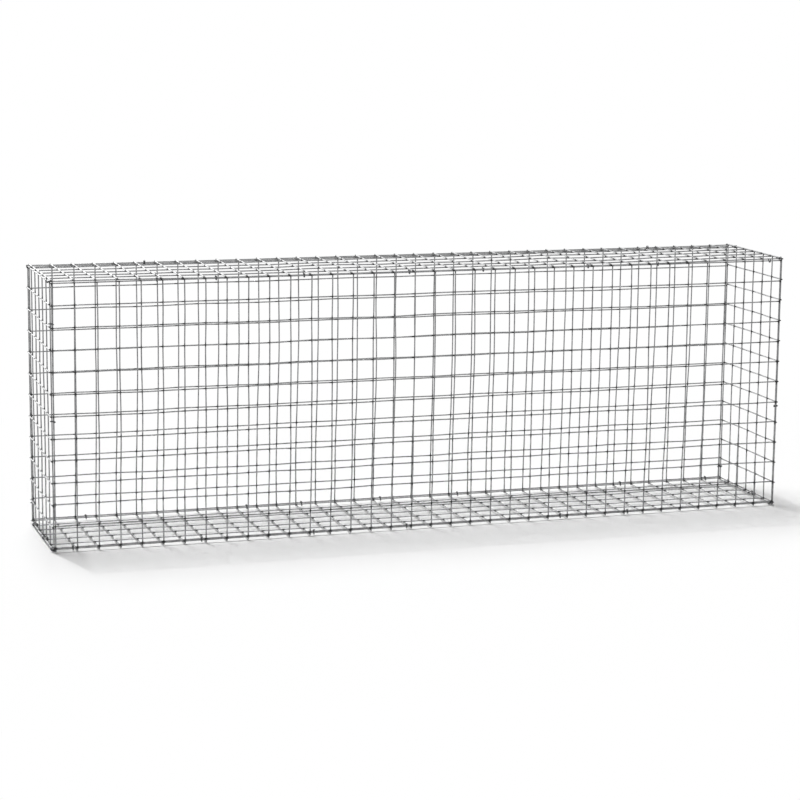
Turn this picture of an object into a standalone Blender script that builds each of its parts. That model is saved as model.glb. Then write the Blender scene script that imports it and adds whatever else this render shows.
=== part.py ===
"""Welded wire mesh gabion basket: six flat panels held edge to edge by pinched steel rings.

Metres, +Z up. The origin is under the middle of the basket, at the level that it stands on.
X runs along the basket, Y from its front to its back. The lid turns on its rear edge wire.
"""

import bpy
import bmesh
from math import cos, pi, radians, sqrt, tan
from mathutils import Matrix, Vector

# Driving sizes of the basket
LENGTH = 1.800        # between the first and last upright of the front panel
DEPTH = 0.300         # between the edge wires of the front and back panels
HEIGHT = 0.606        # between the bottom and top edge wires of the front panel
MESH = 0.050          # pitch of the welded mesh
SOLID_EVERY = 2       # the solids hold each second wire of the mesh
WIRE = 0.003          # wire of the panels
WELD_SINK = 0.0006    # how far a cross wire is pressed into the wire that it is welded to
TRIM = 0.0003         # wire left past the outermost weld where a panel is cut flush
STUB = 0.0035         # wire of the uprights left under the edge wires of the base

# Driving sizes of the rings
RING_WIRE = 0.003     # wire of the rings
RING_ROOM = 0.010     # least distance from a ring's middle to a cross wire
CLEARANCE = 0.0003    # air between two pieces that lie against each other
HINGE_PLAY = 0.0006   # air between the lid's rear wire, on its corner, and the wire under it
ON_LINE = 0.000001    # a point of a ring's path this near to a line counts as on it

# Rings on each edge, as shares of the edge: from the left, from the front or from the bottom
LID_FRONT_RINGS = (0.1375, 0.2095, 0.325, 0.4677, 0.5685, 0.717, 0.8177, 0.984)
LID_REAR_RINGS = (0.1522, 0.8758)
LID_LEFT_RINGS = (0.048, 0.930)
LID_RIGHT_RINGS = (0.048, 0.878)
BASE_FRONT_RINGS = (0.0243, 0.1938, 0.3342, 0.4662, 0.6847, 0.781)
BASE_BACK_RINGS = (0.0695, 0.291, 0.3685, 0.4823, 0.5958, 0.8438, 0.9735)
BASE_END_RINGS = (0.010, 0.4057, 0.8593)
FRONT_LEFT_RINGS = (0.4983, 0.8455)
FRONT_RIGHT_RINGS = (0.4068,)
BACK_LEFT_RINGS = (0.069,)
BACK_RIGHT_RINGS = (0.0455,)

# Finish
ZINC = (0.30, 0.303, 0.306)
ZINC_ROUGHNESS = 0.42
RING_ZINC = (0.17, 0.172, 0.175)
RING_ROUGHNESS = 0.34

# Places that follow from the sizes: "layer" is from the inner wires to the outer ones
LAYER = WIRE - WELD_SINK
SEAT = WIRE + CLEARANCE
FLUSH = WIRE / 2 + TRIM
RING_REACH = CLEARANCE + RING_WIRE / 2

BASE_CROSS_Z = RING_WIRE + CLEARANCE + WIRE / 2
BASE_LINE_Z = BASE_CROSS_Z + LAYER
WALL_BOTTOM_Z = BASE_LINE_Z + SEAT
WALL_TOP_Z = WALL_BOTTOM_Z + HEIGHT
LID_LINE_Z = WALL_TOP_Z + WIRE / 2 + WIRE * sqrt(0.5) + HINGE_PLAY
LID_CROSS_Z = LID_LINE_Z + LAYER

END_LINE_X = LENGTH / 2 + FLUSH + CLEARANCE + WIRE / 2
END_CROSS_X = END_LINE_X + LAYER
WALL_CROSS_Y = DEPTH / 2 + LAYER
BASE_CROSS_END_Y = WALL_CROSS_Y - WIRE / 2 - CLEARANCE
BASE_EDGE_Y = BASE_CROSS_END_Y - FLUSH
LID_EDGE_Y = DEPTH / 2 - SEAT
LID_REST_Z = WALL_TOP_Z + WELD_SINK + CLEARANCE


def wire_places(low, high):
    """Middles of the mesh wires from one edge wire to the other, an even number of cells."""
    cells = 2 * max(1, round((high - low) / (2 * MESH)))
    return [low + (high - low) * index / cells for index in range(cells + 1)]


def make_collection(name):
    collection = bpy.data.collections.new(name)
    bpy.context.scene.collection.children.link(collection)
    return collection


def make_material(name, colour, roughness):
    material = bpy.data.materials.new(name)
    material.use_nodes = True
    shader = material.node_tree.nodes["Principled BSDF"]
    shader.inputs["Base Color"].default_value = (*colour, 1.0)
    shader.inputs["Metallic"].default_value = 1.0
    shader.inputs["Roughness"].default_value = roughness
    material.diffuse_color = (*colour, 1.0)
    return material


def square_wires(name, along, span, places, height):
    """Object of parallel square wires: along is 0 for local X and 1 for local Y."""
    mesh = bmesh.new()
    for place in places:
        middle = Vector((0.0, 0.0, height))
        middle[along] = sum(span) / 2
        middle[1 - along] = place
        size = Vector((WIRE, WIRE, WIRE))
        size[along] = span[1] - span[0]
        matrix = Matrix.Translation(middle) @ Matrix.Diagonal((*size, 1.0))
        bmesh.ops.create_cube(mesh, size=1.0, matrix=matrix)
    data = bpy.data.meshes.new(name)
    mesh.to_mesh(data)
    mesh.free()
    return bpy.data.objects.new(name, data)


def welded_panel(name, lines, line_span, crosses, cross_span, location, rotation):
    """Panel in its own plane: line wires along local X, cross wires on their outer side."""
    panel = square_wires(name, 0, line_span, lines[::SOLID_EVERY], 0.0)
    panel.location = location
    panel.rotation_euler = [radians(angle) for angle in rotation]
    panel.data.materials.append(make_material(f"{name}_zinc", ZINC, ZINC_ROUGHNESS))
    PARTS.objects.link(panel)

    cross_wires = square_wires(f"{name}_cross_wires", 1, cross_span, crosses[::SOLID_EVERY], LAYER)
    cross_wires.parent = panel
    cross_wires.hide_render = True
    cross_wires.display_type = "WIRE"
    HELPERS.objects.link(cross_wires)

    weld = panel.modifiers.new("weld_cross_wires", "BOOLEAN")
    weld.operation = "UNION"
    weld.solver = "EXACT"
    weld.object = cross_wires
    return panel


def square_corners(centre):
    """Corners of a wire's section."""
    u, v = centre
    half = WIRE / 2
    return [(u - half, v - half), (u + half, v - half), (u + half, v + half), (u - half, v + half)]


def turning_corners(centre):
    """Octagon round the circle that a square wire sweeps as it turns on its middle."""
    u, v = centre
    radius = WIRE * sqrt(0.5) / cos(pi / 8)
    turns = [pi / 8 + index * pi / 4 for index in range(8)]
    return [(u + radius * cos(turn), v + radius * cos(turn - pi / 2)) for turn in turns]


def hull(points):
    """Convex outline of the points, anticlockwise."""
    def half_outline(ordered):
        outline = []
        for point in ordered:
            while len(outline) > 1 and turn_side(outline[-2], outline[-1], point) <= 1e-12:
                outline.pop()
            outline.append(point)
        return outline[:-1]
    ordered = sorted(set(points))
    return half_outline(ordered) + half_outline(ordered[::-1])


def turn_side(first, second, third):
    ahead = (second[0] - first[0], second[1] - first[1])
    across = (third[0] - second[0], third[1] - second[1])
    return ahead[0] * across[1] - ahead[1] * across[0]


def ring_path(corners):
    """Middle line of a ring bent closely round the corners, cut across at each bend."""
    outline = [Vector(point) for point in hull(corners)]
    path = []
    for index, corner in enumerate(outline):
        into = (corner - outline[index - 1]).normalized()
        out = (outline[(index + 1) % len(outline)] - corner).normalized()
        cut = RING_REACH * tan(into.angle(out) / 4)
        path.append(corner + Vector((into.y, -into.x)) * RING_REACH + into * cut)
        path.append(corner + Vector((out.y, -out.x)) * RING_REACH - out * cut)
    return path


def open_above(path, wire):
    """Leave out what lies over a wire that is lifted out: the ring's two arms stay beside it."""
    def blocks(point):
        return point.y > wire[1] and abs(point.x - wire[0]) < WIRE / 2 + RING_REACH - ON_LINE
    start = next(i for i in range(len(path)) if blocks(path[i - 1]) and not blocks(path[i]))
    turned = path[start:] + path[:start]
    return [point for point in turned if not blocks(point)]


RING_TURNS = {"X": (90, 0, 90), "Y": (90, 0, 0), "Z": (0, 0, 0)}


def pinched_ring(name, edge, place, path, closed=True):
    """Ring across an edge that runs along X, Y or Z: the path is in the plane of the ring."""
    middle = sum(path, Vector((0.0, 0.0))) / len(path)
    curve = bpy.data.curves.new(name, "CURVE")
    curve.dimensions = "3D"
    curve.twist_mode = "Z_UP"
    curve.bevel_depth = RING_WIRE / 2
    curve.bevel_resolution = 1
    curve.use_fill_caps = not closed
    spline = curve.splines.new("POLY")
    spline.points.add(len(path) - 1)
    for point, corner in zip(spline.points, path):
        point.co = (*(corner - middle), 0.0, 1.0)
    spline.use_cyclic_u = closed
    ring = bpy.data.objects.new(name, curve)
    locations = {
        "X": (place, middle.x, middle.y),
        "Y": (middle.x, place, middle.y),
        "Z": (middle.x, middle.y, place),
    }
    ring.location = locations[edge]
    ring.rotation_euler = [radians(angle) for angle in RING_TURNS[edge]]
    curve.materials.append(make_material(f"{name}_zinc", RING_ZINC, RING_ROUGHNESS))
    PARTS.objects.link(ring)
    return ring


def ring_place(share, wires):
    """Place at a share of the edge, kept off the cross wires on both sides."""
    place = wires[0] + share * (wires[-1] - wires[0])
    before = max(wire for wire in wires[:-1] if wire <= place)
    after = wires[wires.index(before) + 1]
    return min(max(place, before + RING_ROOM), after - RING_ROOM)


def ring_row(name, edge, shares, wires, path, closed=True):
    for number, share in enumerate(shares, start=1):
        pinched_ring(f"{name}_{number:02d}", edge, ring_place(share, wires), path, closed)


def build_panels():
    line_span = (-LENGTH / 2 - FLUSH, LENGTH / 2 + FLUSH)
    uprights = wire_places(-LENGTH / 2, LENGTH / 2)
    wall_lines = wire_places(0.0, HEIGHT)
    tip_z = BASE_LINE_Z - WIRE / 2 - STUB
    wall_cross_span = (tip_z - WALL_BOTTOM_Z, HEIGHT + WIRE / 2)
    for name, side, turn in (("front_panel", -1, 0), ("back_panel", 1, 180)):
        location = (0.0, side * DEPTH / 2, WALL_BOTTOM_Z)
        welded_panel(name, wall_lines, line_span, uprights, wall_cross_span, location, (90, 0, turn))

    base_lines = wire_places(-BASE_EDGE_Y, BASE_EDGE_Y)
    base_cross_span = (-BASE_CROSS_END_Y, BASE_CROSS_END_Y)
    welded_panel("base_panel", base_lines, line_span, uprights, base_cross_span,
                 (0.0, 0.0, BASE_LINE_Z), (180, 0, 0))

    lid_lines = wire_places(-DEPTH / 2 - LID_EDGE_Y, 0.0)
    lid_cross_span = (-DEPTH - FLUSH, FLUSH)
    welded_panel("lid_panel", lid_lines, line_span, uprights, lid_cross_span,
                 (0.0, DEPTH / 2, LID_LINE_Z), (0, 0, 0))

    end_height = LID_LINE_Z - BASE_LINE_Z
    end_crosses = wire_places(0.0, end_height)
    end_line_span = (tip_z - BASE_LINE_Z, end_height + FLUSH)
    end_lines = wire_places(-DEPTH / 2, DEPTH / 2)
    end_cross_span = (-DEPTH / 2 - FLUSH, DEPTH / 2 + FLUSH)
    for name, side, turn in (("left_end_panel", -1, 0), ("right_end_panel", 1, 180)):
        location = (side * END_LINE_X, 0.0, BASE_LINE_Z)
        welded_panel(name, end_lines, end_line_span, end_crosses, end_cross_span,
                     location, (0, -90, turn))


def build_lid_rings():
    uprights = wire_places(-LENGTH / 2, LENGTH / 2)
    depth_places = wire_places(-DEPTH / 2, DEPTH / 2)
    front_lid_wire = (-LID_EDGE_Y, LID_LINE_Z)
    front_path = ring_path(square_corners((-DEPTH / 2, WALL_TOP_Z)) + square_corners(front_lid_wire)
                           + square_corners((-LID_EDGE_Y, LID_REST_Z)))
    ring_row("lid_front_ring", "X", LID_FRONT_RINGS, uprights,
             open_above(front_path, front_lid_wire), closed=False)

    rear_path = ring_path(square_corners((DEPTH / 2, WALL_TOP_Z))
                          + turning_corners((DEPTH / 2, LID_LINE_Z)))
    ring_row("lid_hinge_ring", "X", LID_REAR_RINGS, uprights, rear_path)

    for name, side, shares in (("lid_left_ring", -1, LID_LEFT_RINGS),
                               ("lid_right_ring", 1, LID_RIGHT_RINGS)):
        lid_wire = (side * LENGTH / 2, LID_CROSS_Z)
        path = ring_path(square_corners(lid_wire) + square_corners((side * END_CROSS_X, LID_LINE_Z)))
        ring_row(name, "Y", shares, depth_places, open_above(path, lid_wire), closed=False)


def build_base_rings():
    uprights = wire_places(-LENGTH / 2, LENGTH / 2)
    depth_places = wire_places(-DEPTH / 2, DEPTH / 2)
    for name, side, shares in (("base_front_ring", -1, BASE_FRONT_RINGS),
                               ("base_back_ring", 1, BASE_BACK_RINGS)):
        path = ring_path(square_corners((side * DEPTH / 2, WALL_BOTTOM_Z))
                         + square_corners((side * BASE_EDGE_Y, BASE_LINE_Z)))
        ring_row(name, "X", shares, uprights, path)
    for name, side in (("base_left_ring", -1), ("base_right_ring", 1)):
        path = ring_path(square_corners((side * LENGTH / 2, BASE_CROSS_Z))
                         + square_corners((side * END_CROSS_X, BASE_LINE_Z)))
        ring_row(name, "Y", BASE_END_RINGS, depth_places, path)


def build_corner_rings():
    levels = wire_places(WALL_BOTTOM_Z, WALL_TOP_Z)
    corners = (
        ("front_left_ring", -1, -1, FRONT_LEFT_RINGS),
        ("front_right_ring", 1, -1, FRONT_RIGHT_RINGS),
        ("back_left_ring", -1, 1, BACK_LEFT_RINGS),
        ("back_right_ring", 1, 1, BACK_RIGHT_RINGS),
    )
    for name, x_side, y_side, shares in corners:
        path = ring_path(square_corners((x_side * LENGTH / 2, y_side * WALL_CROSS_Y))
                         + square_corners((x_side * END_LINE_X, y_side * DEPTH / 2)))
        ring_row(name, "Z", shares, levels, path)


for old in list(bpy.data.objects):
    bpy.data.objects.remove(old, do_unlink=True)

PARTS = make_collection("gabion_basket")
HELPERS = make_collection("gabion_basket_helpers")

build_panels()
build_lid_rings()
build_base_rings()
build_corner_rings()
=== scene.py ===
# %% [markdown]
# # A gabion basket of welded wire mesh
# A gabion is a long wire box that stands in a row with others as a wall. This one is six flat
# panels of welded mesh, held edge to edge by small pinched rings. It looks plain, but nearly
# all of it is thin round wire seen against a pale ground, so its likeness lives in three things:
# the exact spacing of the wires, the small bends that real mesh has, and the dull zinc skin.
#
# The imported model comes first. It holds the solids that the physics uses, in metres, and every
# piece made below takes the place of one of them.

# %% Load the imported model
from math import atan2, cos, degrees, hypot, pi, radians, sin, sqrt

import bmesh
import bpy
import numpy as np
from mathutils import Matrix, Vector


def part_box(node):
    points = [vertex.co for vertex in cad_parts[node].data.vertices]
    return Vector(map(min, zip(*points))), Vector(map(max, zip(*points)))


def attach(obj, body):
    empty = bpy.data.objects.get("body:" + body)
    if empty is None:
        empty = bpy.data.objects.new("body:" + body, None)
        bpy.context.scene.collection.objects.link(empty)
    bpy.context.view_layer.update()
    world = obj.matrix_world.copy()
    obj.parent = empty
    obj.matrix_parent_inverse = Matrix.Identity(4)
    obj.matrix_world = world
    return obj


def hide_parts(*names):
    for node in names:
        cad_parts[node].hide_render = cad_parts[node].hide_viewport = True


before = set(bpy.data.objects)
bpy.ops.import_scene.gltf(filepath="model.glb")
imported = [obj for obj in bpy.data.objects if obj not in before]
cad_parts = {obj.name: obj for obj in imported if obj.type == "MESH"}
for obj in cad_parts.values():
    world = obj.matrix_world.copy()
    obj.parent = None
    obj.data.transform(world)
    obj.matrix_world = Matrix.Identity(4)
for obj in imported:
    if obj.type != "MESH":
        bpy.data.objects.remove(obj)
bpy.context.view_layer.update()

# %% [markdown]
# ## The camera
# The camera stands 5.4 m in front and 1.8 m to the left, with its lens 1.3 m above the floor. A
# mesh makes the angle easy to find: its rows and columns are a ruler in each direction, and a
# camera that was fitted to them gives the place, the turn and the lens. The three turns are done
# in the order that a tripod head has: pan, tilt, and then a slight roll on its own axis.

# %% Set up the camera
CAMERA_PLACE = (-1.78342, -5.36152, 1.31395)
CAMERA_PAN = -0.31586
CAMERA_TILT = 0.18037
CAMERA_ROLL = 0.0096
CAMERA_LENS = 106.496

aim = (Matrix.Rotation(CAMERA_PAN, 3, "Z") @ Matrix.Rotation(pi / 2 - CAMERA_TILT, 3, "X")
       @ Matrix.Rotation(CAMERA_ROLL, 3, "Z"))
bpy.ops.object.camera_add(location=CAMERA_PLACE, rotation=aim.to_euler())
camera = bpy.context.object
camera.name = "photo_camera"
camera.data.lens = CAMERA_LENS
bpy.context.scene.camera = camera
print("the camera stands", round(camera.location.length, 2), "m from the foot of the basket")

# %% [markdown]
# ## The sizes of the basket
# All the wire is 3 mm thick. In each panel the line wires run one way, and the cross wires lie
# over them and are pressed in a little by the weld. Two layers that touch like this set every
# other place: which wire is inside, which outside, and where the next panel can stand. The same
# few sizes drive the solids, so the two models agree to a hair.

# %% Name the sizes
LENGTH = 1.800
DEPTH = 0.300
HEIGHT = 0.606
MESH = 0.050
WIRE = 0.003
WELD_SINK = 0.0006
TRIM = 0.0003
STUB = 0.0035
RING_WIRE = 0.003
CLEARANCE = 0.0003
HINGE_PLAY = 0.0006

LAYER = WIRE - WELD_SINK
SEAT = WIRE + CLEARANCE
FLUSH = WIRE / 2 + TRIM
HALF_LENGTH = LENGTH / 2
HALF_DEPTH = DEPTH / 2
print("a panel is", round(1000 * (WIRE + LAYER), 1), "mm thick at its welds")

# %% [markdown]
# ## The places that follow
# From the ground up, the cross wires of the base lie on the rings under them, its line wires on
# those, then come the walls, and the lid on top. Sideways, the ends stand against the tips of the
# walls' lines. Each place is worked out from the one before it, as the basket would be put up.

# %% Work out the places
BASE_CROSS_Z = RING_WIRE + CLEARANCE + WIRE / 2
BASE_LINE_Z = BASE_CROSS_Z + LAYER
TIP_Z = BASE_LINE_Z - WIRE / 2 - STUB
WALL_BOTTOM_Z = BASE_LINE_Z + SEAT
WALL_TOP_Z = WALL_BOTTOM_Z + HEIGHT
LID_REST_Z = WALL_TOP_Z + WELD_SINK + CLEARANCE
LID_LINE_Z = WALL_TOP_Z + WIRE / 2 + WIRE * sqrt(0.5) + HINGE_PLAY
LID_CROSS_Z = LID_LINE_Z + LAYER
END_LINE_X = HALF_LENGTH + FLUSH + CLEARANCE + WIRE / 2
END_CROSS_X = END_LINE_X + LAYER
WALL_CROSS_Y = HALF_DEPTH + LAYER
BASE_CROSS_END_Y = WALL_CROSS_Y - WIRE / 2 - CLEARANCE
BASE_EDGE_Y = BASE_CROSS_END_Y - FLUSH
LID_EDGE_Y = HALF_DEPTH - SEAT
print("the lid's wires lie at", round(LID_LINE_Z, 5), "m and its cross wires at", round(LID_CROSS_Z, 5))

# %% [markdown]
# ## What an operator works on
# Blender's operators act on all that is selected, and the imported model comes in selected. So each
# step first deselects everything and then picks its own piece, or the edges of it that it needs.
# The edges are picked by a test and not by their numbers, because the numbers change with each cut.

# %% Select before each step
def deselect_all():
    if bpy.context.object and bpy.context.object.mode != "OBJECT":
        bpy.ops.object.mode_set(mode="OBJECT")
    bpy.ops.object.select_all(action="DESELECT")


def select_only(piece):
    deselect_all()
    piece.select_set(True)
    bpy.context.view_layer.objects.active = piece


def edit_edges(piece, wanted):
    """Go into edit mode with only the edges selected that pass the test."""
    select_only(piece)
    bpy.ops.object.mode_set(mode="EDIT")
    bpy.ops.mesh.select_mode(type="EDGE")
    bpy.ops.mesh.select_all(action="DESELECT")
    shape = bmesh.from_edit_mesh(piece.data)
    for edge in shape.edges:
        edge.select_set(wanted(edge))
    shape.select_flush_mode()
    bmesh.update_edit_mesh(piece.data)


def on_sawn_end(edge):
    """A wire's sides are quads, so only its two end faces have more than four corners."""
    return any(len(face.verts) > 4 for face in edge.link_faces)


deselect_all()

# %% [markdown]
# ## One straight wire
# A wire could be a curve with a bevel, which is quick, but its loose caps and its even points are
# awkward to weld. A cylinder of ten sides is closed from the start. Its long edges are cut into
# short pieces, so that the wire can bend later, and the rim of each sawn end is broken by a
# small bevel, because a sheared wire never has a knife edge.

# %% Draw a wire
WIRE_SIDES = 10
BEND_STEP = MESH / 2
END_BEVEL = 0.0003
TURN_ALONG = {"X": (0.0, pi / 2, 0.0), "Y": (pi / 2, 0.0, 0.0)}


def draw_wire(name, along, low, high):
    """Round wire along local X or Y, from low to high, through the origin of the other axis."""
    deselect_all()
    middle = [0.0, 0.0, 0.0]
    middle["XY".index(along)] = (low + high) / 2
    bpy.ops.mesh.primitive_cylinder_add(
        vertices=WIRE_SIDES, radius=WIRE / 2, depth=high - low, location=middle,
        rotation=TURN_ALONG[along])
    wire = bpy.context.object
    wire.name = name
    bpy.ops.object.transform_apply(location=True, rotation=True, scale=True)
    long_edge = (high - low) / 2
    edit_edges(wire, lambda edge: edge.calc_length() > long_edge)
    bpy.ops.mesh.subdivide(number_cuts=round((high - low) / BEND_STEP) - 1)
    bpy.ops.object.mode_set(mode="OBJECT")
    edit_edges(wire, on_sawn_end)
    bpy.ops.mesh.bevel(offset=END_BEVEL, segments=1)
    bpy.ops.object.mode_set(mode="OBJECT")
    return wire


print("a wire has", WIRE_SIDES, "sides and can bend every", round(1000 * BEND_STEP), "mm")

# %% [markdown]
# ## From one to many
# A panel has up to fifty wires and nearly five hundred welds. One of each is made, and an Array
# modifier repeats it at even steps. The modifier is applied at once, which makes its copies real
# points that can be read and moved one by one.

# %% Repeat a piece
def apply_modifiers(piece):
    select_only(piece)
    for modifier in list(piece.modifiers):
        bpy.ops.object.modifier_apply(modifier=modifier.name)


def repeat(piece, along, places):
    """Repeat a piece at even places along an axis, with one closed body at each."""
    row = piece.modifiers.new("row", "ARRAY")
    row.count = len(places)
    row.use_relative_offset = False
    row.use_constant_offset = True
    step = [0.0, 0.0, 0.0]
    step["XY".index(along)] = places[1] - places[0]
    row.constant_offset_displace = step
    apply_modifiers(piece)


def get_points(piece):
    points = np.empty(len(piece.data.vertices) * 3)
    piece.data.vertices.foreach_get("co", points)
    return points.reshape(-1, 3)


def set_points(piece, points):
    piece.data.vertices.foreach_set("co", points.ravel())
    piece.data.update()


print("a long panel is", round(LENGTH / MESH), "cells of", round(1000 * MESH), "mm long")

# %% [markdown]
# ## A row of wires
# The machine that welds the mesh feeds the wires through guides with some play, so no two cells
# are quite alike. Each wire of a row but the two outer ones is moved by a few tenths of a
# millimetre. The shifts come from a seeded generator, so they are the same each time that the
# script runs.

# %% Lay a row of wires
GUIDE_PLAY = 0.0004
GUIDE_SEED = 306
play = np.random.default_rng(GUIDE_SEED)


def guide_shifts(places):
    """How far each wire strays in its guide: the outer wires stay, because the rings hold them."""
    shifts = play.normal(0.0, GUIDE_PLAY, len(places))
    shifts[0] = shifts[-1] = 0.0
    return shifts


def lay_row(name, along, span, across, places, height, shifts):
    wire = draw_wire(name, along, *span)
    size = len(wire.data.vertices)
    repeat(wire, across, places)
    points = get_points(wire)
    points[:, "XY".index(across)] += places[0] + np.repeat(shifts, size)
    points[:, 2] += height
    set_points(wire, points)
    return wire


print("the guides leave the wires", 1000 * GUIDE_PLAY, "mm of play")

# %% [markdown]
# ## The weld spots
# Where two wires cross, the weld leaves a small flat bead of pressed metal. It starts as a ball
# of a few dozen faces, because there are hundreds of it, and is flattened and repeated in both
# directions. It moves with the two wires that it joins.

# %% Lay the weld spots
SPOT_RADIUS = 0.0020
SPOT_HALF_THICKNESS = 0.0011
SPOT_SEGMENTS = 8
SPOT_RINGS = 6


def lay_spots(name, columns, rows, column_shifts, row_shifts):
    """Weld spots at all crossings, between the two layers of wires."""
    deselect_all()
    first = (columns[0], rows[0], LAYER / 2)
    bpy.ops.mesh.primitive_uv_sphere_add(segments=SPOT_SEGMENTS, ring_count=SPOT_RINGS,
                                         radius=SPOT_RADIUS, location=first)
    spot = bpy.context.object
    spot.name = name
    bpy.ops.object.mode_set(mode="EDIT")
    bpy.ops.mesh.select_all(action="SELECT")
    flatten = (1.0, 1.0, SPOT_HALF_THICKNESS / SPOT_RADIUS)
    bpy.ops.transform.resize(value=flatten, center_override=first)
    bpy.ops.object.mode_set(mode="OBJECT")
    bpy.ops.object.transform_apply(location=True, rotation=True, scale=True)
    size = len(spot.data.vertices)
    repeat(spot, "X", columns)
    repeat(spot, "Y", rows)
    points = get_points(spot)
    points[:, 0] += np.tile(np.repeat(column_shifts, size), len(rows))
    points[:, 1] += np.repeat(row_shifts, size * len(columns))
    set_points(spot, points)
    return spot


print("a weld spot is", 2000 * SPOT_RADIUS, "mm wide and", 2000 * SPOT_HALF_THICKNESS, "mm thick")

# %% [markdown]
# ## From rows to a welded panel
# The two rows and the spots are united into one closed body with two Booleans. The Manifold
# solver is made for clean closed shapes and welds some five hundred crossings in a moment. The
# panel is built flat on the ground, as mesh is made, and then stood in its place in the basket.

# %% Weld a panel
def even_places(low, high):
    cells = round((high - low) / MESH)
    return [low + (high - low) * index / cells for index in range(cells + 1)]


def unite(piece, other):
    weld = piece.modifiers.new("weld", "BOOLEAN")
    weld.operation = "UNION"
    weld.solver = "MANIFOLD"
    weld.object = other
    apply_modifiers(piece)
    bpy.data.objects.remove(other, do_unlink=True)


def weld_panel(name, lines, line_span, crosses, cross_span, place, turn):
    """Lines run along local X, and the cross wires lie on their outer side, along local Y."""
    line_shifts = guide_shifts(lines)
    cross_shifts = guide_shifts(crosses)
    panel = lay_row(name, "X", line_span, "Y", lines, 0.0, line_shifts)
    over = lay_row(name + "_cross", "Y", cross_span, "X", crosses, LAYER, cross_shifts)
    spots = lay_spots(name + "_spots", crosses, lines, cross_shifts, line_shifts)
    unite(panel, over)
    unite(panel, spots)
    stand = Matrix.Translation(place) @ Matrix.Rotation(radians(turn[2]), 4, "Z")
    stand = stand @ Matrix.Rotation(radians(turn[1]), 4, "Y")
    stand = stand @ Matrix.Rotation(radians(turn[0]), 4, "X")
    panel.data.transform(stand)
    print(name, "has", len(lines), "line wires,", len(crosses), "cross wires and",
          len(panel.data.polygons), "faces")
    return panel


print("a depth of", DEPTH, "m is shared into", len(even_places(0.0, DEPTH)) - 1, "cells")

# %% [markdown]
# ## The front and the back
# The two long walls are built alike. Their upright wires lie on the outside, and the tips of the
# uprights reach a little below the lowest line. The back is the front turned round to face the
# other way.

# %% Build the walls
uprights = even_places(-HALF_LENGTH, HALF_LENGTH)
line_span = (-HALF_LENGTH - FLUSH, HALF_LENGTH + FLUSH)
wall_lines = even_places(0.0, HEIGHT)
wall_cross_span = (TIP_Z - WALL_BOTTOM_Z, HEIGHT + WIRE / 2)

front_mesh = weld_panel("front_mesh", wall_lines, line_span, uprights, wall_cross_span,
                        (0.0, -HALF_DEPTH, WALL_BOTTOM_Z), (90, 0, 0))
back_mesh = weld_panel("back_mesh", wall_lines, line_span, uprights, wall_cross_span,
                       (0.0, HALF_DEPTH, WALL_BOTTOM_Z), (90, 0, 180))

# %% [markdown]
# ## The base and the lid
# Both lie between the two ends. The base has its cross wires underneath and the lid has them on
# top. The lid is a little less deep than the box, so that its front wire can drop in behind the
# top of the front wall.

# %% Build the base and the lid
base_lines = even_places(-BASE_EDGE_Y, BASE_EDGE_Y)
base_cross_span = (-BASE_CROSS_END_Y, BASE_CROSS_END_Y)
base_mesh = weld_panel("base_mesh", base_lines, line_span, uprights, base_cross_span,
                       (0.0, 0.0, BASE_LINE_Z), (180, 0, 0))

lid_lines = even_places(-HALF_DEPTH - LID_EDGE_Y, 0.0)
lid_cross_span = (-DEPTH - FLUSH, FLUSH)
lid_mesh = weld_panel("lid_mesh", lid_lines, line_span, uprights, lid_cross_span,
                      (0.0, HALF_DEPTH, LID_LINE_Z), (0, 0, 0))

# %% [markdown]
# ## The two ends
# The ends reach from the wires of the base to those of the lid. Their lines stand upright, and
# the sawn tips show at the lower corners. The right end is built like the left one and turned
# round.

# %% Build the ends
end_height = LID_LINE_Z - BASE_LINE_Z
end_lines = even_places(-HALF_DEPTH, HALF_DEPTH)
end_crosses = even_places(0.0, end_height)
end_line_span = (TIP_Z - BASE_LINE_Z, end_height + FLUSH)
end_cross_span = (-HALF_DEPTH - FLUSH, HALF_DEPTH + FLUSH)
left_mesh, right_mesh = (
    weld_panel(name, end_lines, end_line_span, end_crosses, end_cross_span,
               (side * END_LINE_X, 0.0, BASE_LINE_Z), (0, -90, turn))
    for name, side, turn in (("left_end_mesh", -1, 0), ("right_end_mesh", 1, 180)))

# %% [markdown]
# ## Handling has bent them a little
# Mesh this light never stays flat. Its edges are held by the rings, but in between the wires
# wander by a millimetre or two. A Displace modifier with a soft cloud texture does this evenly,
# because the texture is read in space: wires that are welded together move together. A vertex
# group holds the edges nearly still.

# %% Bend the panels
HELD_BAND = 0.12
EDGE_GIVE = 0.10
IN_PLANE_BEND = 0.005
BOW = 0.005
CLOUD_SIZES = {"X": 0.220, "Y": 0.286, "Z": 0.187}


def cloud(name, size):
    texture = bpy.data.textures.new(name, "CLOUDS")
    texture.noise_scale = size
    texture.noise_depth = 1
    return texture


def ease(share):
    """From 0 to 1 with a gentle start and a gentle end."""
    return share * share * (3 - 2 * share)


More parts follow.
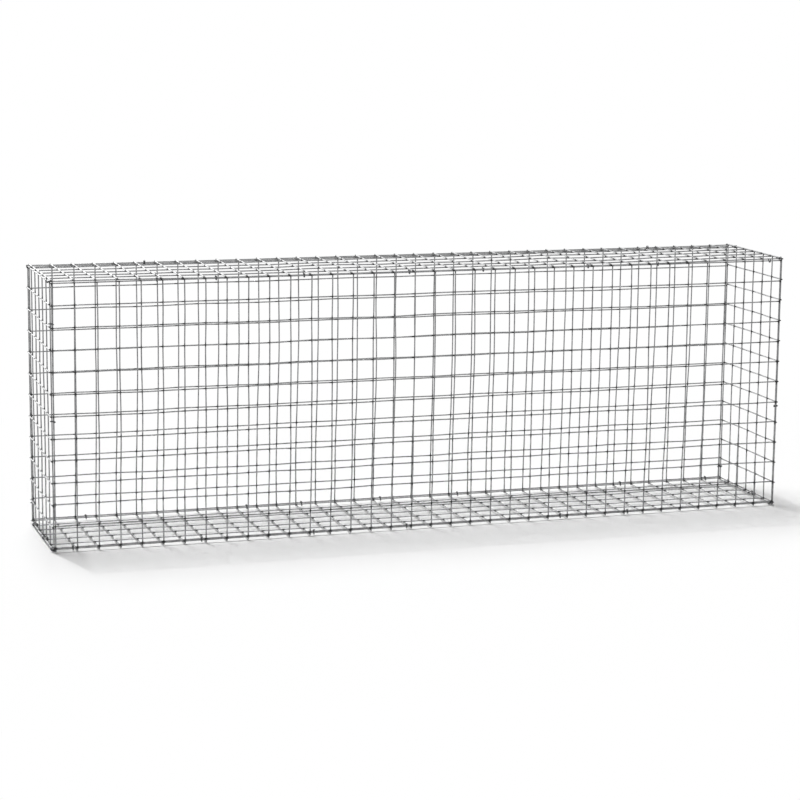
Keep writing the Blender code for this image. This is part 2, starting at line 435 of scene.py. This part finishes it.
def bend_panel(panel, flat_axis):
    """Move the wires inside the panel's edges, in its own plane and out of it."""
    points = get_points(panel)
    low, high = points.min(axis=0), points.max(axis=0)
    reach = np.minimum(points - low, high - points)
    in_plane = [index for index in range(3) if "XYZ"[index] != flat_axis]
    share = np.clip(reach[:, in_plane].min(axis=1) / HELD_BAND, 0.0, 1.0)
    share = EDGE_GIVE + (1 - EDGE_GIVE) * ease(share)
    give = panel.vertex_groups.new(name="give")
    for index, weight in enumerate(share.tolist()):
        give.add([index], weight, "REPLACE")
    for axis, texture in bend_clouds.items():
        bend = panel.modifiers.new("bend_" + axis, "DISPLACE")
        bend.direction = axis
        bend.texture = texture
        bend.texture_coords = "LOCAL"
        bend.vertex_group = give.name
        bend.strength = BOW if axis == flat_axis else IN_PLANE_BEND
    apply_modifiers(panel)
    panel.vertex_groups.clear()
    moved = get_points(panel) - points
    print(panel.name, "bends by up to", round(1000 * float(np.abs(moved).max()), 2), "mm")


bend_clouds = {axis: cloud("bend_" + axis, size) for axis, size in CLOUD_SIZES.items()}
for panel, flat_axis in ((front_mesh, "Y"), (back_mesh, "Y"), (base_mesh, "Z"), (lid_mesh, "Z"),
                         (left_mesh, "X"), (right_mesh, "X")):
    bend_panel(panel, flat_axis)

# %% [markdown]
# ## The walls have slipped and the lid has settled
# Two bends are larger and have a direction, so they are plain sums on the points. Both long walls
# have slipped sideways in their rings, so that all but their outer uprights lean a little. The lid
# has settled onto the walls between its ends, and its front wire lies lowest.

# %% Lean the walls and rest the lid
FRONT_LEAN = 0.0025
BACK_LEAN = 0.0055
LEAN_RISE = 0.42
LEAN_EASE = 0.09
LID_REAR_HELD = (0.01, 0.06)
LID_FRONT_HELD = (0.06, 0.42)
LID_REAR_SETTLE = 0.0008
LID_FRONT_SETTLE = 0.0030


def smooth_step(values, start, stop):
    return ease(np.clip((values - start) / (stop - start), 0.0, 1.0))


def lean(panel, reach):
    """Slip a wall sideways by its reach at the top, and leave its outer uprights where they are."""
    points = get_points(panel)
    inside = smooth_step(HALF_LENGTH - np.abs(points[:, 0]), 0.0, LEAN_EASE)
    points[:, 0] += reach * inside * smooth_step(points[:, 2], 0.0, LEAN_RISE)
    set_points(panel, points)
    print(panel.name, "leans by", round(1000 * reach, 1), "mm")


def rest_lid(panel):
    """Let the lid down between its ends, a little at its rear wire and more at its front."""
    points = get_points(panel)
    forward = (HALF_DEPTH - points[:, 1]) / DEPTH
    from_end = HALF_LENGTH - np.abs(points[:, 0])
    rear = LID_REAR_SETTLE * smooth_step(from_end, *LID_REAR_HELD)
    front = LID_FRONT_SETTLE * smooth_step(from_end, *LID_FRONT_HELD)
    points[:, 2] -= rear + (front - rear) * forward
    set_points(panel, points)
    print(panel.name, "settles by", round(1000 * LID_FRONT_SETTLE, 1), "mm at its front")


lean(front_mesh, FRONT_LEAN)
lean(back_mesh, BACK_LEAN)
rest_lid(lid_mesh)

# %% [markdown]
# ## The rings
# A ring is a short length of wire that pliers close round two edge wires. It is bent here as
# the pliers bend it: a round section is spun about the first wire, drawn straight to the next
# one, and spun about that. Its two ends lie side by side, so each section is set a little further
# along the edge than the last.

# %% Bend a ring
RING_SIDES = 8
RING_SLACK = 0.00002
RING_BEND = WIRE / 2 + CLEARANCE + RING_WIRE / 2 - RING_SLACK
TURN_STEP = radians(30)
RING_END_BEVEL = 0.0003


def bend_ring(name, heading, steps, bend, lead):
    """Bend round wire in the XY plane about the origin: steps are turns in radians and runs."""
    deselect_all()
    centre = Vector((0.0, 0.0, 0.0))
    start = Vector((cos(heading), sin(heading), 0.0)) * bend
    bpy.ops.mesh.primitive_circle_add(
        vertices=RING_SIDES, radius=RING_WIRE / 2, fill_type="NGON", location=start,
        rotation=(-pi / 2, 0.0, heading))
    ring = bpy.context.object
    ring.name = name
    bpy.ops.object.transform_apply(location=True, rotation=True, scale=True)
    bpy.ops.object.mode_set(mode="EDIT")
    bpy.ops.mesh.select_mode(type="FACE")
    bpy.ops.mesh.select_all(action="SELECT")
    for kind, amount in steps:
        if kind == "turn":
            cuts = max(1, round(amount / TURN_STEP))
            bpy.ops.mesh.spin(steps=cuts, angle=amount, center=centre, axis=(0.0, 0.0, -1.0))
            heading += amount
        else:
            forward = Vector((-sin(heading), cos(heading), 0.0)) * amount
            bpy.ops.mesh.extrude_region_move(TRANSFORM_OT_translate={"value": forward})
            centre += forward
    bpy.ops.object.mode_set(mode="OBJECT")
    points = get_points(ring)
    section = np.arange(len(points)) // RING_SIDES
    points[:, 2] += lead * (section / section.max() - 0.5)
    set_points(ring, points)
    edit_edges(ring, on_sawn_end)
    bpy.ops.mesh.bevel(offset=RING_END_BEVEL, segments=1)
    bpy.ops.mesh.select_all(action="SELECT")
    bpy.ops.mesh.normals_make_consistent(inside=False)
    bpy.ops.object.mode_set(mode="OBJECT")
    return ring


print("a ring is bent to a radius of", round(1000 * RING_BEND, 2), "mm")

# %% [markdown]
# ## Three kinds of ring
# Most rings are closed and run all the way round, with their ends side by side. Those on the
# lid's front stand open with two arms up, and those on its two ends are hooks with one open side,
# so that the lid can lift out of them. Each kind is given by two things: the wire's heading at
# its start, and the turns and straight runs that follow.

# %% Plan a ring's turns
OVERLAP = radians(50)
ARM = LID_LINE_Z - WALL_TOP_Z + WIRE / 2


def ring_steps(first, second, kind):
    """How a ring's wire goes round two edge wires: its heading at the start, and its steps."""
    across, up = second[0] - first[0], second[1] - first[1]
    apart = hypot(across, up)
    if kind == "closed":
        return 0.0, [("turn", pi), ("run", apart), ("turn", pi), ("run", apart), ("turn", OVERLAP)]
    if kind == "arms_up":
        slope = atan2(up, across)
        return pi, [("run", ARM), ("turn", pi / 2 + slope), ("run", apart), ("turn", pi / 2 - slope),
                    ("run", ARM - up)]
    slope = atan2(-up, abs(across))
    return pi, [("turn", pi / 2 - slope), ("run", apart), ("turn", pi)]


print("the ends of a closed ring overlap by", round(degrees(OVERLAP)), "degrees")

# %% [markdown]
# ## One ring for each edge
# Each edge joins the same two wires all along, so one ring is bent for it and then copied to the
# places where the photograph shows one. The solids have those places already, and the copies
# read them from there. Each copy has its own mesh, turned into the plane across its edge.

# %% Copy a ring along its edge
ENDS_APART = 0.00012
RING_LEAD = RING_WIRE + ENDS_APART
RING_PLANES = {
    "X": Matrix(((0, 0, 1, 0), (1, 0, 0, 0), (0, 1, 0, 0), (0, 0, 0, 1))),
    "Y": Matrix(((1, 0, 0, 0), (0, 0, -1, 0), (0, 1, 0, 0), (0, 0, 0, 1))),
    "Z": Matrix.Identity(4),
}
IN_PLANE = {"X": (1, 2), "Y": (0, 2), "Z": (0, 1)}


def place_rings(prefix, edge, first, second, kind, bend=RING_BEND):
    """Bend one ring round two wires that run along an edge, and copy it to each of its nodes."""
    heading, steps = ring_steps(first, second, kind)
    model = bend_ring(prefix + "_model", heading, steps, bend, RING_LEAD if kind == "closed" else 0.0)
    if kind == "arms_up":
        model.data.transform(Matrix.Translation((0.0, ARM, 0.0)))
    lie = Matrix.Identity(4)
    if kind == "closed":
        lie = Matrix.Rotation(atan2(second[1] - first[1], second[0] - first[0]) + pi / 2, 4, "Z")
    mirror = kind == "hook" and second[0] < first[0]
    if mirror:
        lie = Matrix.Diagonal((-1.0, 1.0, 1.0, 1.0))
    copies = []
    for node in sorted(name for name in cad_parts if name.startswith(prefix)):
        low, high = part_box(node)
        place = Vector((0.0, 0.0, 0.0))
        place["XYZ".index(edge)] = (low + high)["XYZ".index(edge)] / 2
        for axis, value in zip(IN_PLANE[edge], first):
            place[axis] = value
        ring = bpy.data.objects.new(node.replace("_ring_", "_clip_"), model.data.copy())
        bpy.context.scene.collection.objects.link(ring)
        ring.data.transform(Matrix.Translation(place) @ RING_PLANES[edge] @ lie)
        if mirror:
            ring.data.flip_normals()
        copies.append((ring, node))
    bpy.data.objects.remove(model, do_unlink=True)
    print(prefix, "x", len(copies))
    return copies


print("a closed ring takes up", round(1000 * (RING_LEAD + RING_WIRE), 2), "mm of its edge")

# %% [markdown]
# ## Rings on all twelve edges
# Four edges run along the basket, four across it and four upright. On each, the two wires are
# named that the ring holds together, by their places in the plane across the edge. The hinge's
# rings are a little wider than the others, so that the lid turns in them.

# %% Ring the edges
HINGE_BEND = RING_BEND + HINGE_PLAY

rings = []
rings += place_rings("lid_front_ring", "X", (-HALF_DEPTH, WALL_TOP_Z), (-LID_EDGE_Y, LID_REST_Z),
                     "arms_up")
rings += place_rings("lid_hinge_ring", "X", (HALF_DEPTH, WALL_TOP_Z), (HALF_DEPTH, LID_LINE_Z),
                     "closed", HINGE_BEND)
for prefix, side in (("base_front_ring", -1), ("base_back_ring", 1)):
    rings += place_rings(prefix, "X", (side * HALF_DEPTH, WALL_BOTTOM_Z),
                         (side * BASE_EDGE_Y, BASE_LINE_Z), "closed")
for prefix, side in (("left", -1), ("right", 1)):
    rings += place_rings(f"lid_{prefix}_ring", "Y", (side * HALF_LENGTH, LID_CROSS_Z),
                         (side * END_CROSS_X, LID_LINE_Z), "hook")
    rings += place_rings(f"base_{prefix}_ring", "Y", (side * HALF_LENGTH, BASE_CROSS_Z),
                         (side * END_CROSS_X, BASE_LINE_Z), "closed")
for prefix, x_side, y_side in (("front_left", -1, -1), ("front_right", 1, -1),
                               ("back_left", -1, 1), ("back_right", 1, 1)):
    rings += place_rings(prefix + "_ring", "Z", (x_side * HALF_LENGTH, y_side * WALL_CROSS_Y),
                         (x_side * END_LINE_X, y_side * HALF_DEPTH), "closed")

# %% [markdown]
# ## Nodes written in code
# A material is a tree of nodes. Written out one by one they fill pages, so four helpers do the
# repeating work: they start a group, add a node with its links, add a noise, and map one range of
# values to another.

# %% Name the node helpers
def new_group(name, inputs, outputs):
    group = bpy.data.node_groups.new(name, "ShaderNodeTree")
    for direction, sockets in (("INPUT", inputs), ("OUTPUT", outputs)):
        for socket, kind in sockets:
            group.interface.new_socket(socket, in_out=direction, socket_type="NodeSocket" + kind)
    return group, group.nodes.new("NodeGroupInput"), group.nodes.new("NodeGroupOutput")


def add_node(tree, kind, links=None, values=None, **settings):
    """Add a node, set its options and its values, and link its inputs."""
    node = tree.nodes.new(kind)
    for option, setting in settings.items():
        setattr(node, option, setting)
    for socket, value in (values or {}).items():
        node.inputs[socket].default_value = value
    for socket, source in (links or {}).items():
        tree.links.new(source, node.inputs[socket])
    return node


def noise(tree, vector, scale, detail):
    return add_node(tree, "ShaderNodeTexNoise", {"Vector": vector},
                    {"Scale": scale, "Detail": detail}).outputs["Fac"]


def spread(tree, value, old_range, new_range):
    """Map a value from one range to another and hold it there."""
    limits = {"From Min": old_range[0], "From Max": old_range[1],
              "To Min": new_range[0], "To Max": new_range[1]}
    return add_node(tree, "ShaderNodeMapRange", {"Value": value}, limits).outputs["Result"]


print("four helpers are ready, and", len(bpy.data.node_groups), "node groups are built so far")

# %% [markdown]
# ## A skin of zinc
# Galvanised wire isn't shiny. The zinc is drawn thin and grey, with lighter and darker patches
# as long as a finger, small crystals, and a fine grain. This group makes all three from the place
# in space, so that the pattern runs on over every wire. Where it is told of a weld mark, the zinc
# is made darker and duller: partly a real burn, and partly painted shade where the crossing wire
# shades it. It puts out plain values, and the shader that turns them into metal stays in the
# material.

# %% Build the zinc skin
PATCH_SCALE, PATCH_DETAIL = 22.0, 3.0
PATCH_RANGE = (0.34, 0.66)
CRYSTAL_SCALE = 190.0
TONE_RANGE = (0.2, 1.8)
GRAIN_SCALE, GRAIN_DETAIL = 420.0, 2.0
GRAIN_RANGE = (0.3, 0.7)
ZINC_ROUGHNESS = (0.17, 0.30)
# how dark a weld mark makes the zinc: partly burn, partly painted shade at the crossing
WELD_BURN_AND_SHADE_TONE = 0.24
BURNT_ROUGHNESS = 0.45

zinc, zinc_in, zinc_out = new_group(
    "zinc_skin", (("Vector", "Vector"), ("Light", "Color"), ("Dark", "Color"), ("Mark", "Float")),
    (("Color", "Color"), ("Roughness", "Float"), ("Height", "Float")))
spot_in_space = zinc_in.outputs["Vector"]
patches = noise(zinc, spot_in_space, PATCH_SCALE, PATCH_DETAIL)
patch_share = spread(zinc, patches, PATCH_RANGE, (0.0, 1.0))
crystals = add_node(zinc, "ShaderNodeTexVoronoi", {"Vector": spot_in_space}, {"Scale": CRYSTAL_SCALE})
crystal_tone = add_node(zinc, "ShaderNodeSeparateColor", {"Color": crystals.outputs["Color"]})
tone = add_node(zinc, "ShaderNodeMath", {0: crystal_tone.outputs["Red"], 1: patch_share},
                operation="ADD")
tone = spread(zinc, tone.outputs[0], TONE_RANGE, (0.0, 1.0))
skin = add_node(zinc, "ShaderNodeMix", {"Factor": tone, "A": zinc_in.outputs["Dark"],
                                        "B": zinc_in.outputs["Light"]}, data_type="RGBA")
# the mark darkens the zinc, as a burn and as painted shade from the crossing wire
burn_and_shade = spread(zinc, zinc_in.outputs["Mark"], (0.0, 1.0), (1.0, WELD_BURN_AND_SHADE_TONE))
burnt_and_shaded = add_node(zinc, "ShaderNodeVectorMath", {0: skin.outputs["Result"], "Scale": burn_and_shade},
                 operation="SCALE")
zinc.links.new(burnt_and_shaded.outputs[0], zinc_out.inputs["Color"])

grain = noise(zinc, spot_in_space, GRAIN_SCALE, GRAIN_DETAIL)
dullness = spread(zinc, grain, GRAIN_RANGE, ZINC_ROUGHNESS)
marked = add_node(zinc, "ShaderNodeMath", {0: zinc_in.outputs["Mark"], 2: dullness},
                  {1: BURNT_ROUGHNESS}, operation="MULTIPLY_ADD")
zinc.links.new(marked.outputs[0], zinc_out.inputs["Roughness"])
zinc.links.new(grain, zinc_out.inputs["Height"])
print("the group", zinc.name, "has", len(zinc.nodes), "nodes")

# %% [markdown]
# ## Dark marks at the welds: burn and painted shade
# A weld leaves a dark mark a few millimetres wide, and the crossing wire shades the spot too: the
# mark paints that shade in with the burn. The second group finds each mark without being told where
# it is: the crossings repeat at the pitch of the mesh, so the place is snapped to the nearest
# multiple of the pitch, and the distance to that crossing gives the mark. Only the distance in the
# panel's own plane counts.

# %% Build the weld marks
MARK_REACH = 0.0070

marks, marks_in, marks_out = new_group(
    "weld_burn_and_shade", (("Vector", "Vector"), ("Origin", "Vector"), ("Pitch", "Vector"),
                   ("Plane", "Vector")), (("Mark", "Float"),))


def vector_math(operation, first, second=None, values=None):
    links = {0: first} if second is None else {0: first, 1: second}
    return add_node(marks, "ShaderNodeVectorMath", links, values, operation=operation)


pitch = marks_in.outputs["Pitch"]
from_origin = vector_math("SUBTRACT", marks_in.outputs["Vector"], marks_in.outputs["Origin"])
half_pitch = vector_math("SCALE", pitch, values={"Scale": 0.5})
ahead_half = vector_math("ADD", from_origin.outputs[0], half_pitch.outputs[0])
crossing = vector_math("SNAP", ahead_half.outputs[0], pitch)
from_crossing = vector_math("SUBTRACT", from_origin.outputs[0], crossing.outputs[0])
in_plane = vector_math("MULTIPLY", from_crossing.outputs[0], marks_in.outputs["Plane"])
distance = vector_math("LENGTH", in_plane.outputs[0])
mark = spread(marks, distance.outputs["Value"], (WIRE / 2, MARK_REACH), (1.0, 0.0))
marks.links.new(mark, marks_out.inputs["Mark"])
print("the group", marks.name, "has", len(marks.nodes), "nodes")

# %% [markdown]
# ## From values to metal
# The material turns the groups' values into metal: colour and roughness go straight in, and the
# grain goes through a Bump node, which makes the surface look finely uneven. A material with weld
# marks is also told where its crossings are.

# %% Define the zinc material
GRAIN_BUMP = 0.25
GRAIN_DEPTH = 0.00012


def zinc_material(name, tones, crossings=None):
    """Zinc between a light and a dark tone. The crossings are their origin, pitch and plane."""
    material = bpy.data.materials.new(name)
    material.use_nodes = True
    tree = material.node_tree
    shader = tree.nodes["Principled BSDF"]
    shader.inputs["Metallic"].default_value = 1.0
    place = tree.nodes.new("ShaderNodeTexCoord").outputs["Object"]
    skin = add_node(tree, "ShaderNodeGroup", node_tree=zinc)
    tree.links.new(place, skin.inputs["Vector"])
    skin.inputs["Light"].default_value, skin.inputs["Dark"].default_value = tones
    if crossings:
        marked = add_node(tree, "ShaderNodeGroup", node_tree=marks)
        tree.links.new(place, marked.inputs["Vector"])
        for socket, value in zip(("Origin", "Pitch", "Plane"), crossings):
            marked.inputs[socket].default_value = value
        tree.links.new(marked.outputs["Mark"], skin.inputs["Mark"])
    tree.links.new(skin.outputs["Color"], shader.inputs["Base Color"])
    tree.links.new(skin.outputs["Roughness"], shader.inputs["Roughness"])
    bump = add_node(tree, "ShaderNodeBump", {"Height": skin.outputs["Height"]},
                    {"Strength": GRAIN_BUMP, "Distance": GRAIN_DEPTH})
    tree.links.new(bump.outputs["Normal"], shader.inputs["Normal"])
    print(name, "has", len(tree.nodes), "nodes")
    return material


print("the grain is", round(1000 * GRAIN_DEPTH, 2), "mm deep, at a strength of", GRAIN_BUMP)

# %% [markdown]
# ## Zinc for the mesh and for the rings
# The panels differ in pitch and in plane, so there is a material for the two walls, one for the
# two ends, one for the base and one for the lid. The zinc of the base is set lighter than that
# of the others. The rings come from a darker wire and have no weld marks. All the tones are darker
# than bare zinc: part of their darkness is painted shade, standing in for the dim studio that the
# wires mirror. Each pair of tones is the light one and the dark one, and the plane is 1 along the
# two axes that the mesh runs in.

# %% Make the materials
# these tones are darker than bare zinc: partly painted shade for the dim studio the wires mirror
MESH_TONES = ((0.315, 0.318, 0.321, 1.0), (0.185, 0.188, 0.192, 1.0))
BASE_TONES = ((0.420, 0.424, 0.428, 1.0), (0.270, 0.273, 0.278, 1.0))
RING_TONES = ((0.150, 0.152, 0.155, 1.0), (0.070, 0.072, 0.075, 1.0))
UPRIGHT, LEVEL, ENDWAYS = (1.0, 0.0, 1.0), (1.0, 1.0, 0.0), (0.0, 1.0, 1.0)


def pitch_of(places):
    return places[1] - places[0]


wall_zinc = zinc_material("wall_zinc", MESH_TONES, (
    (-HALF_LENGTH, 0.0, WALL_BOTTOM_Z), (MESH, 1.0, pitch_of(wall_lines)), UPRIGHT))
end_zinc = zinc_material("end_zinc", MESH_TONES, (
    (0.0, -HALF_DEPTH, BASE_LINE_Z), (1.0, MESH, pitch_of(end_crosses)), ENDWAYS))
base_zinc = zinc_material("base_zinc", BASE_TONES, (
    (-HALF_LENGTH, -BASE_EDGE_Y, 0.0), (MESH, pitch_of(base_lines), 1.0), LEVEL))
lid_zinc = zinc_material("lid_zinc", MESH_TONES, (
    (-HALF_LENGTH, -LID_EDGE_Y, 0.0), (MESH, pitch_of(lid_lines), 1.0), LEVEL))
ring_zinc = zinc_material("ring_zinc", RING_TONES)

# %% [markdown]
# ## Dress the frame
# Every piece is shaded smooth, with the edges of the welds and of the sawn ends kept sharp. It
# is then told which body it moves with, and the solid that it stands for is hidden. Only the lid moves.

# %% Finish the pieces
SHARP_ANGLE = radians(40)


def finish_piece(piece, node, body, material):
    piece.data.materials.clear()
    piece.data.materials.append(material)
    select_only(piece)
    bpy.ops.object.shade_smooth_by_angle(angle=SHARP_ANGLE)
    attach(piece, body)
    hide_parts(node)


finish_piece(front_mesh, "front_panel", "basket", wall_zinc)
finish_piece(back_mesh, "back_panel", "basket", wall_zinc)
finish_piece(left_mesh, "left_end_panel", "basket", end_zinc)
finish_piece(right_mesh, "right_end_panel", "basket", end_zinc)
finish_piece(base_mesh, "base_panel", "basket", base_zinc)
finish_piece(lid_mesh, "lid_panel", "lid", lid_zinc)
for ring, node in rings:
    finish_piece(ring, node, "basket", ring_zinc)
print("six panels and", len(rings), "rings are finished")

# %% [markdown]
# ## The floor
# The basket stands on a pale floor that runs away to white with no horizon. The floor is a plain
# white surface that catches the shadow. Further out it changes to plain white light, but only for
# what the camera sees directly or in a reflection, so it lights nothing. The basket is long, so
# the shadow's ground is an oval: distance counts for less along it than across.

# %% Lay the floor
FLOOR_SIZE = 30.0
FLOOR_DROP = 0.0003
SHADOW_REACH = (0.55, 1.5)
SHADOW_OVAL = (0.45, 1.0, 1.0)
WHITE = (1.0, 1.0, 1.0, 1.0)


def seen_by_camera(tree):
    """1 for what the camera sees directly, in a reflection or through glass, and 0 for the rest."""
    rays = tree.nodes.new("ShaderNodeLightPath").outputs
    seen = rays["Is Camera Ray"]
    for ray in ("Is Glossy Ray", "Is Transmission Ray"):
        seen = add_node(tree, "ShaderNodeMath", {0: seen, 1: rays[ray]}, operation="MAXIMUM").outputs[0]
    return seen


deselect_all()
bpy.ops.mesh.primitive_plane_add(size=FLOOR_SIZE, location=(0.0, 0.0, -FLOOR_DROP))
floor = bpy.context.object
floor.name = "floor"
floor_look = bpy.data.materials.new("floor_white")
floor_look.use_nodes = True
tree = floor_look.node_tree
ground = tree.nodes["Principled BSDF"]
ground.inputs["Base Color"].default_value = WHITE
ground.inputs["Roughness"].default_value = 1.0
ground.inputs["Specular IOR Level"].default_value = 0.0
white = add_node(tree, "ShaderNodeEmission")
place = tree.nodes.new("ShaderNodeTexCoord").outputs["Object"]
oval = add_node(tree, "ShaderNodeVectorMath", {0: place}, {1: SHADOW_OVAL}, operation="MULTIPLY")
away = add_node(tree, "ShaderNodeVectorMath", {0: oval.outputs[0]}, operation="LENGTH")
far = spread(tree, away.outputs["Value"], SHADOW_REACH, (0.0, 1.0))
fade = add_node(tree, "ShaderNodeMath", {0: far, 1: seen_by_camera(tree)}, operation="MULTIPLY")
surface = add_node(tree, "ShaderNodeMixShader", {0: fade.outputs[0], 1: ground.outputs[0],
                                                 2: white.outputs[0]})
tree.links.new(surface.outputs[0], tree.nodes["Material Output"].inputs["Surface"])
floor.data.materials.append(floor_look)
print("the floor is", FLOOR_SIZE, "m wide and white from", SHADOW_REACH[1], "m out")

# %% [markdown]
# ## The suns
# The shadow falls forward and is short, so the main light stands high behind the basket, a
# little to its left. A broad sun makes the shadow soft, and a small one from the same side gives
# it a faint edge.

# %% Light the basket
SUN_SIDE = radians(15.5)
SUN_PLACE = (0.0, 2.0, 4.0)
SUNS = {  # how high each one stands, its strength, and its width in the sky
    "broad_sun": (radians(68), 2.34, radians(26)),
    "small_sun": (radians(71), 0.58, radians(1.5)),
}

deselect_all()
for name, (rise, strength, width) in SUNS.items():
    shine = Vector((sin(SUN_SIDE) * cos(rise), -cos(SUN_SIDE) * cos(rise), -sin(rise)))
    bpy.ops.object.light_add(type="SUN", location=SUN_PLACE,
                             rotation=shine.to_track_quat("-Z", "Y").to_euler())
    sun = bpy.context.object
    sun.name = name
    sun.data.energy = strength
    sun.data.angle = width
print("suns from", [round(degrees(rise)) for rise, _, _ in SUNS.values()], "degrees up")

# %% [markdown]
# ## A softbox for the wires to mirror
# The wires that run away from the camera look nearly white between their dark welds, because
# they mirror the far end of the studio. A large softbox stands there for them, and is told to
# leave everything dull alone.

# %% Stand a softbox behind
SOFTBOX_PLACE = (-2.0, 8.0, 2.3)
SOFTBOX_SIZE = (7.0, 4.0)
SOFTBOX_BRIGHTNESS = 2.0

facing = (Vector((0.0, 0.0, HEIGHT / 2)) - Vector(SOFTBOX_PLACE)).to_track_quat("-Z", "Y")
bpy.ops.object.light_add(type="AREA", location=SOFTBOX_PLACE, rotation=facing.to_euler())
softbox = bpy.context.object
softbox.name = "back_softbox"
softbox.data.shape = "RECTANGLE"
softbox.data.size, softbox.data.size_y = SOFTBOX_SIZE
softbox.data.energy = SOFTBOX_BRIGHTNESS * pi * SOFTBOX_SIZE[0] * SOFTBOX_SIZE[1]
softbox.visible_diffuse = False
print("the softbox is", SOFTBOX_SIZE[0], "by", SOFTBOX_SIZE[1], "m")

# %% [markdown]
# ## A white room
# The sky gives the rest of the light, at a strength where a colour renders about as it is
# written. The camera and the reflections see it plain white, as they see the far floor.

# %% Make the room white
SKY_STRENGTH = 0.13

world = bpy.data.worlds.new("white_room")
bpy.context.scene.world = world
world.use_nodes = True
tree = world.node_tree
sky = tree.nodes["Background"]
sky.inputs["Color"].default_value = WHITE
strength = spread(tree, seen_by_camera(tree), (0.0, 1.0), (SKY_STRENGTH, 1.0))
tree.links.new(strength, sky.inputs["Strength"])
bpy.context.scene.view_settings.view_transform = "Standard"
print("the sky lights the basket at", SKY_STRENGTH, "and looks white")
